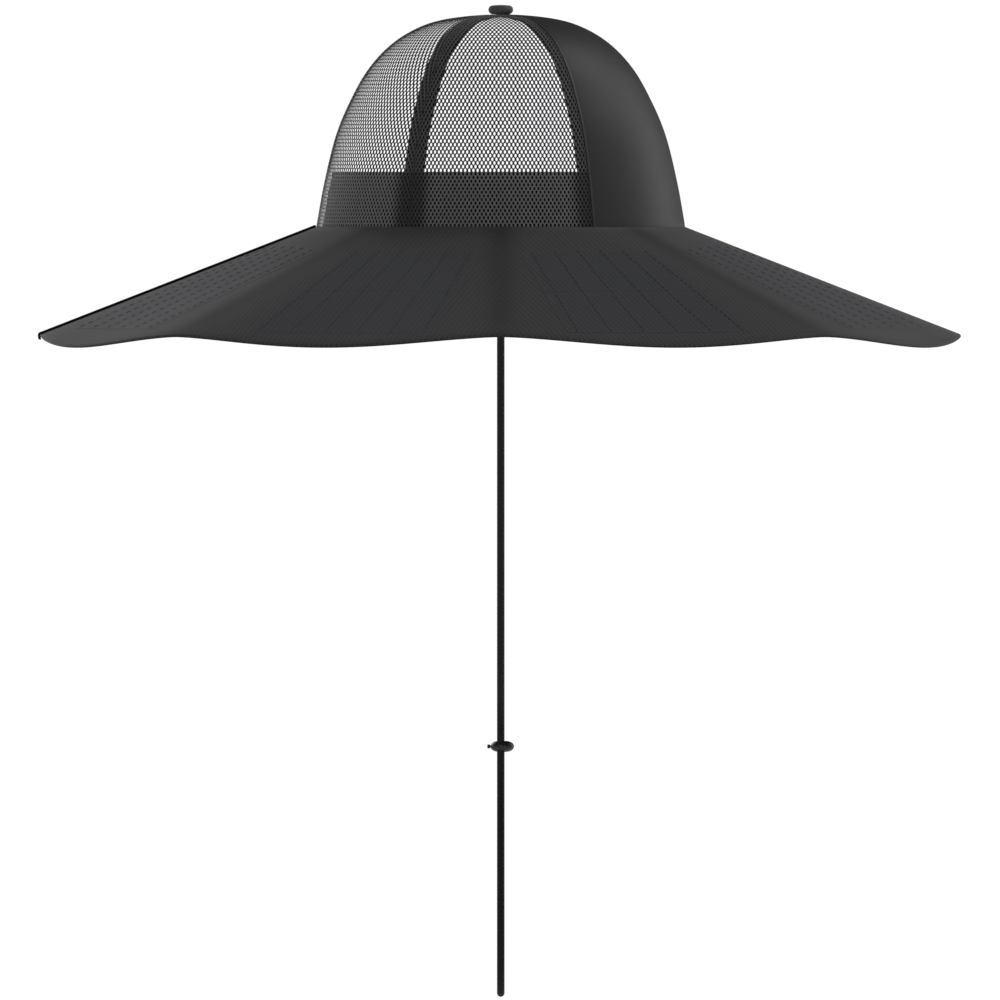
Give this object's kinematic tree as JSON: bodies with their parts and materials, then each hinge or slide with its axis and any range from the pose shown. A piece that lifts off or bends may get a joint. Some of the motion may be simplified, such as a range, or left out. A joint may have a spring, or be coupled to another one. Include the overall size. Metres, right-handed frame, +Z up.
{
  "type": "solar panel hat",
  "caption": "Wide-brimmed sun hat with net side and back panels, a solid crown front, solar panels on the sectors of its brim, and a hanging chin cord with a stopper",
  "frame": {"origin": "the middle of the head opening, in the plane where the crown meets the brim", "axes": "+X is the front of the hat, +Y the wearer's left, +Z up through the top button"},
  "size_m": [0.5, 0.4846, 0.5371],
  "materials": {
    "net": "black polyester net with round holes, matt",
    "crown_cloth": "smooth dark grey polyester cloth with a soft sheen",
    "tape": "black woven tape, matt",
    "band": "black terry sweatband, matt",
    "brim_cloth": "dark grey woven polyester, matt",
    "solar_film": "dark blue-grey laminated solar film with a fine texture, satin",
    "cord": "black braided polyester cord",
    "stopper": "smoky dark grey moulded plastic, glossy"
  },
  "bodies": {
    "root": {"crown_front": "crown_cloth", "crown_side_left": "net", "crown_side_right": "net", "crown_back_left": "net", "crown_back_right": "net", "seam_tape_front_left": "tape", "seam_tape_front_right": "tape", "seam_tape_side_left": "tape", "seam_tape_side_right": "tape", "seam_tape_back": "tape", "sweatband": "band", "top_button": "crown_cloth", "brim": "brim_cloth", "solar_panel_1": "solar_film", "solar_panel_2": "solar_film", "solar_panel_3": "solar_film", "solar_panel_4": "solar_film", "solar_panel_5": "solar_film", "solar_panel_6": "solar_film", "solar_panel_7": "solar_film", "solar_panel_8": "solar_film", "brim_back_binding": "tape", "chin_cord": "cord", "cord_stopper": "stopper"}
  },
  "joints": []
}
